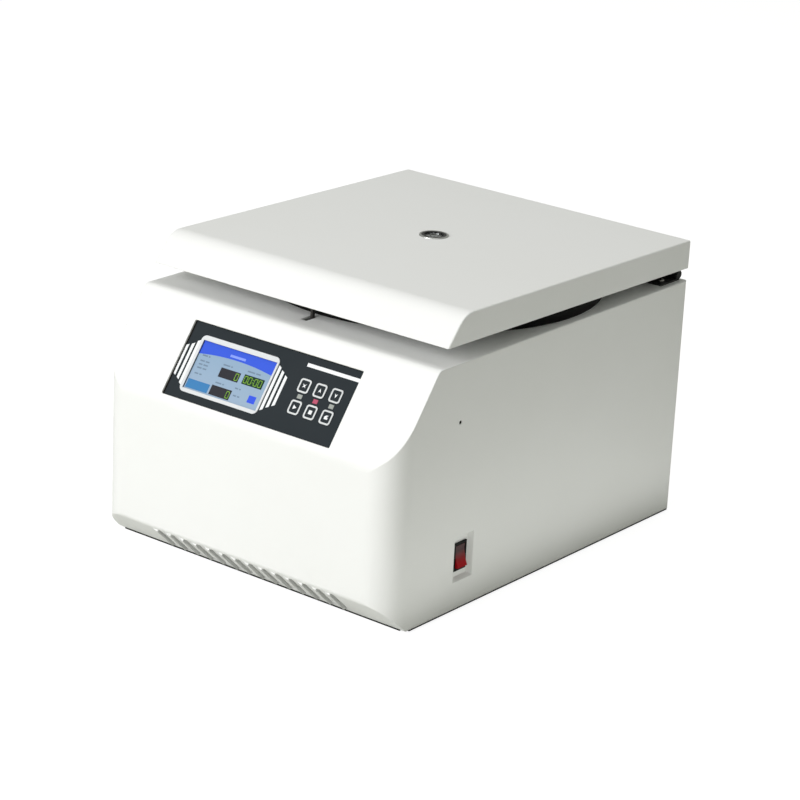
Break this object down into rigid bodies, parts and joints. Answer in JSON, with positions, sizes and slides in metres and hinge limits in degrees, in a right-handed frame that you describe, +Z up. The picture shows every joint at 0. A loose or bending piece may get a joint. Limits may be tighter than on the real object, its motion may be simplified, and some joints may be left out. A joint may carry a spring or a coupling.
{
  "type": "benchtop centrifuge",
  "caption": "Benchtop laboratory centrifuge with a slanted control panel, a hinged flat lid, a chamber with an angle rotor, a power switch and a lid lock.",
  "frame": {"origin": "on the table, under the middle of the casing's footprint", "axes": "+X to the right seen from the front, +Y to the back, +Z up"},
  "size_m": [0.4, 0.5125, 0.3242],
  "materials": {
    "shell": "satin off-white",
    "lid_skin": "satin off-white powder coat",
    "liner": "satin",
    "zinc_sheet": "zinc plated",
    "grey_paint": "powder coat",
    "stainless": "drawn stainless",
    "steel": "machined",
    "screw_steel": "nickel plated",
    "cast_alu": "cast",
    "rotor_alu": "anodised",
    "black_rubber": "matte",
    "black_plastic": "fine grain",
    "panel_dark": "satin film",
    "key_dark": "satin film",
    "pale_plastic": "satin",
    "screen": "lit display",
    "lamp": "translucent",
    "board": "solder mask",
    "lens": "clear",
    "red_plastic": "translucent red",
    "core_steel": "laminated"
  },
  "bodies": {
    "cabinet": {"backer_nuts": "screw_steel", "base_plate": "zinc_sheet", "board_spacers": "screw_steel", "carrier_plate": "zinc_sheet", "chamber_bowl": "stainless", "chamber_gasket": "black_rubber", "control_board": "board", "deck_leaves": "stainless", "drive_board": "board", "drive_heat_sink": "cast_alu", "fan_frame": "black_plastic", "fuse_holder": "black_plastic", "guard_ring": "steel", "hinge_pins": "steel", "hinge_screws": "screw_steel", "keypad_board": "board", "lamp_lenses": "lamp", "latch_solenoid": "zinc_sheet", "lid_switch": "black_plastic", "mains_transformer": "core_steel", "motor_bearings": "steel", "motor_bolts": "screw_steel", "motor_dampers": "black_rubber", "motor_end_cap": "cast_alu", "motor_housing": "cast_alu", "outer_shell": "shell", "panel_backer": "black_plastic", "panel_plate": "panel_dark", "power_inlet": "black_plastic", "rear_panel": "grey_paint", "rear_screws": "screw_steel", "release_plug": "black_rubber", "rubber_feet": "black_rubber", "screen_bezel": "pale_plastic", "screen_module": "screen", "shaft_boot": "black_rubber", "shell_screws": "screw_steel", "support_posts": "steel", "switch_frame": "black_plastic"},
    "lid": {"lid_shell": "lid_skin", "lid_liner": "liner", "liner_screws": "screw_steel", "sight_ring": "cast_alu", "sight_glass": "lens", "lid_leaves": "stainless", "lid_hook": "steel"},
    "rotor": {"motor_shaft": "steel", "rotor_body": "rotor_alu", "rotor_cover": "rotor_alu", "rotor_knob": "black_plastic"},
    "fan": {"fan_impeller": "black_plastic"},
    "lock_bolt": {"latch_bolt": "steel"},
    "power_rocker": {"switch_rocker": "red_plastic"},
    "key_button_1": {"key_1": "key_dark"},
    "key_button_2": {"key_2": "key_dark"},
    "key_button_3": {"key_3": "key_dark"},
    "key_button_4": {"key_4": "key_dark"},
    "key_button_5": {"key_5": "key_dark"},
    "key_button_6": {"key_6": "key_dark"}
  },
  "joints": [
    {"name": "lid_hinge", "type": "hinge", "parent": "cabinet", "child": "lid", "pos_m": [0, 0.25, 0.279], "axis": [-1, 0, 0], "range_deg": [-0.78, 72]},
    {"name": "rotor_spin", "type": "hinge", "parent": "cabinet", "child": "rotor", "pos_m": [0, 0.051, 0.15], "axis": [0, 0, 1], "continuous": true},
    {"name": "fan_spin", "type": "hinge", "parent": "cabinet", "child": "fan", "pos_m": [-0.095, 0.24, 0.062], "axis": [0, 1, 0], "continuous": true},
    {"name": "lock_slide", "type": "slide", "parent": "cabinet", "child": "lock_bolt", "axis": [-1, 0, 0], "range_m": [0, 0.008]},
    {"name": "power_rock", "type": "hinge", "parent": "cabinet", "child": "power_rocker", "pos_m": [0.1945, -0.133, 0.058], "axis": [0, 1, 0], "range_deg": [0, 20]},
    {"name": "key_press_1", "type": "slide", "parent": "cabinet", "child": "key_button_1", "axis": [0, 0.807, -0.5905], "range_m": [0, 0.0005], "stiffness_N_per_m": 600},
    {"name": "key_press_2", "type": "slide", "parent": "cabinet", "child": "key_button_2", "axis": [0, 0.807, -0.5905], "range_m": [0, 0.0005], "stiffness_N_per_m": 600},
    {"name": "key_press_3", "type": "slide", "parent": "cabinet", "child": "key_button_3", "axis": [0, 0.807, -0.5905], "range_m": [0, 0.0005], "stiffness_N_per_m": 600},
    {"name": "key_press_4", "type": "slide", "parent": "cabinet", "child": "key_button_4", "axis": [0, 0.807, -0.5905], "range_m": [0, 0.0005], "stiffness_N_per_m": 600},
    {"name": "key_press_5", "type": "slide", "parent": "cabinet", "child": "key_button_5", "axis": [0, 0.807, -0.5905], "range_m": [0, 0.0005], "stiffness_N_per_m": 600},
    {"name": "key_press_6", "type": "slide", "parent": "cabinet", "child": "key_button_6", "axis": [0, 0.807, -0.5905], "range_m": [0, 0.0005], "stiffness_N_per_m": 600}
  ]
}
